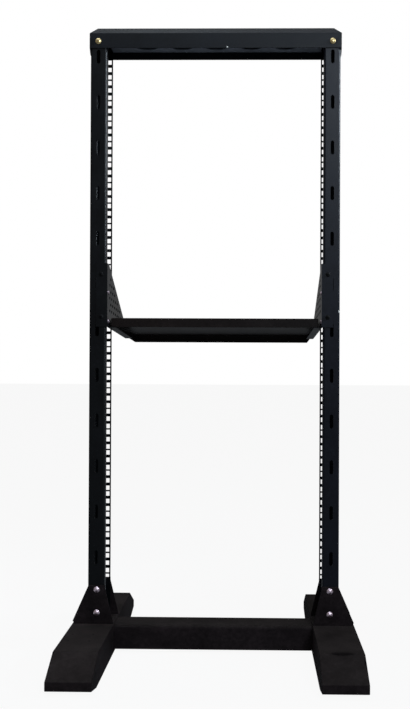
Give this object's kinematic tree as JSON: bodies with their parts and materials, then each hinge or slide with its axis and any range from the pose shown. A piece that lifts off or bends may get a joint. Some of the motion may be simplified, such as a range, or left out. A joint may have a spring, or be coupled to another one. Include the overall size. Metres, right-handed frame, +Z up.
{
  "type": "two post open frame rack",
  "caption": "Open frame equipment rack: paired folded steel posts with square-hole rails, a sheet cap, long folded feet joined by a beam, and a cantilever shelf.",
  "frame": {"origin": "on the floor, at the middle of the rack's whole width and depth", "axes": "+X across the rack to the right seen from the front, +Y to the rear, +Z up"},
  "size_m": [0.586, 0.698, 1.3082],
  "materials": {
    "post_black": "satin powder coat",
    "post_slate": "satin powder coat",
    "foot_black": "matte powder coat",
    "cap_slate": "satin powder coat",
    "shelf_grey": "satin powder coat",
    "tray_black": "satin powder coat",
    "black_screw": "black oxide",
    "zinc": "bright zinc",
    "yellow_zinc": "yellow zinc"
  },
  "bodies": {
    "root": {"left_post": "post_black", "right_post": "post_slate", "left_foot": "foot_black", "right_foot": "foot_black", "base_beam": "foot_black", "left_front_gusset": "foot_black", "left_rear_gusset": "foot_black", "right_front_gusset": "foot_black", "right_rear_gusset": "foot_black", "left_gusset_bolts": "zinc", "right_gusset_bolts": "zinc", "cap": "cap_slate", "cable_plate": "post_black", "left_cap_screws": "yellow_zinc", "right_cap_screws": "yellow_zinc", "left_shelf_bracket": "shelf_grey", "right_shelf_bracket": "shelf_grey", "shelf_tray": "tray_black", "left_ear_bolts": "black_screw", "right_ear_bolts": "black_screw", "left_side_screws": "yellow_zinc", "right_side_screws": "yellow_zinc"}
  },
  "joints": []
}
